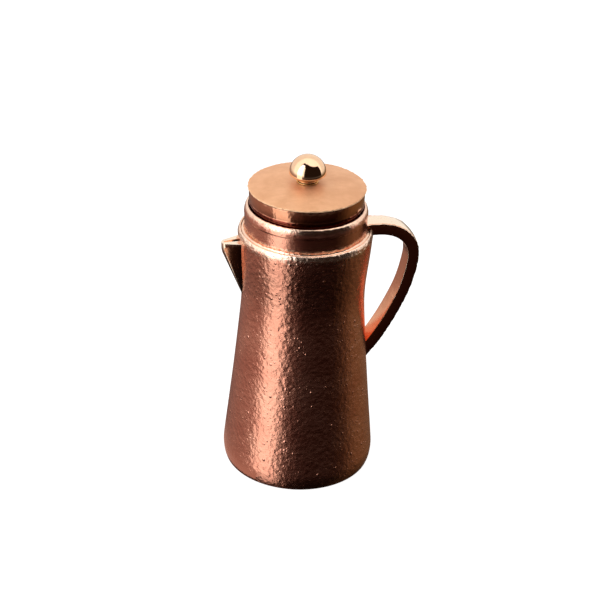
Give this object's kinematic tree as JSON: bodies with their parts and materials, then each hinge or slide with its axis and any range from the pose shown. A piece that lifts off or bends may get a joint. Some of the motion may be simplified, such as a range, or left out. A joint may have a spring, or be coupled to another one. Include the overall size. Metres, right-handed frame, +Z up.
{
  "type": "hand-pump milk frother",
  "caption": "Waisted copper jug with a beak spout, strap handle and lift-off lid; a half-ball knob on the lid pumps a double-mesh plunger up and down inside.",
  "frame": {"origin": "centre of the jug's flat underside, on the surface it stands on", "axes": "+Z up along the jug's and the plunger's axis, +X towards the handle, spout towards -X"},
  "size_m": [0.102, 0.0796, 0.1734],
  "materials": {
    "jug_copper": "cast copper, satin, finely pitted",
    "bright_copper": "polished copper",
    "strap_copper": "polished copper strap",
    "brass": "turned brass",
    "steel": "stainless steel, brushed",
    "wire_steel": "stainless steel wire"
  },
  "bodies": {
    "jug": {"jug_body": "jug_copper", "base_plate": "jug_copper", "shoulder_ring": "jug_copper", "neck_collar": "jug_copper", "spout": "jug_copper", "handle": "strap_copper"},
    "lid": {"lid_cap": "bright_copper", "lid_sleeve": "jug_copper", "rod_bush": "brass", "bush_washer": "steel", "bush_nut": "brass"},
    "plunger": {"knob": "bright_copper", "plunger_rod": "steel", "lock_nut": "steel", "upper_screen_frame": "steel", "upper_mesh_screen": "wire_steel", "upper_rim_spring": "steel", "screen_spacer": "steel", "lower_screen_frame": "steel", "lower_mesh_screen": "wire_steel", "lower_rim_spring": "steel", "end_nut": "steel"}
  },
  "joints": [
    {"name": "lid_lift", "type": "slide", "parent": "jug", "child": "lid", "axis": [0, 0, 1], "range_m": [0, 0.15]},
    {"name": "plunger_pump", "type": "slide", "parent": "lid", "child": "plunger", "axis": [0, 0, 1], "range_m": [0, 0.122]}
  ]
}
